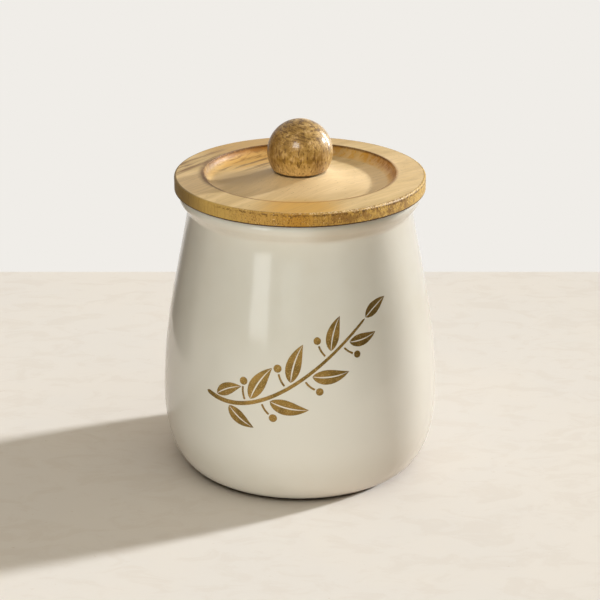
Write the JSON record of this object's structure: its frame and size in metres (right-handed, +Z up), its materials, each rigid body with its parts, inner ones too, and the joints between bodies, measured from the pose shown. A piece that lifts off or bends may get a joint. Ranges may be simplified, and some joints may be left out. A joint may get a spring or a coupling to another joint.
{
  "type": "lidded canister",
  "caption": "Round glazed stoneware salt canister with a full belly and flared lip, closed by a dished wooden lid with a ball knob and a hidden seal. The lid lifts straight off and turns.",
  "frame": {"origin": "centre of the foot ring, on the surface that the canister stands on", "axes": "+Z up along the common axis of all the turned pieces, -Y towards the front, +X to the viewer's right"},
  "size_m": [0.112, 0.112, 0.144],
  "materials": {
    "glaze": "glossy warm off-white glaze",
    "lid_wood": "light honey wood, thin satin lacquer",
    "silicone": "translucent white silicone",
    "knob_wood": "darker flecked wood, semi-gloss lacquer",
    "screw_steel": "zinc-plated steel"
  },
  "bodies": {
    "jar": {"jar": "glaze"},
    "seal": {"lid_seal": "silicone"},
    "lid": {"lid": "lid_wood", "knob": "knob_wood", "knob_screw": "screw_steel"}
  },
  "joints": [
    {"name": "lid_lift", "type": "slide", "parent": "jar", "child": "seal", "axis": [0, 0, 1], "range_m": [0, 0.08]},
    {"name": "lid_turn", "type": "hinge", "parent": "seal", "child": "lid", "pos_m": [0, 0, 0.1163], "axis": [0, 0, 1], "continuous": true}
  ]
}
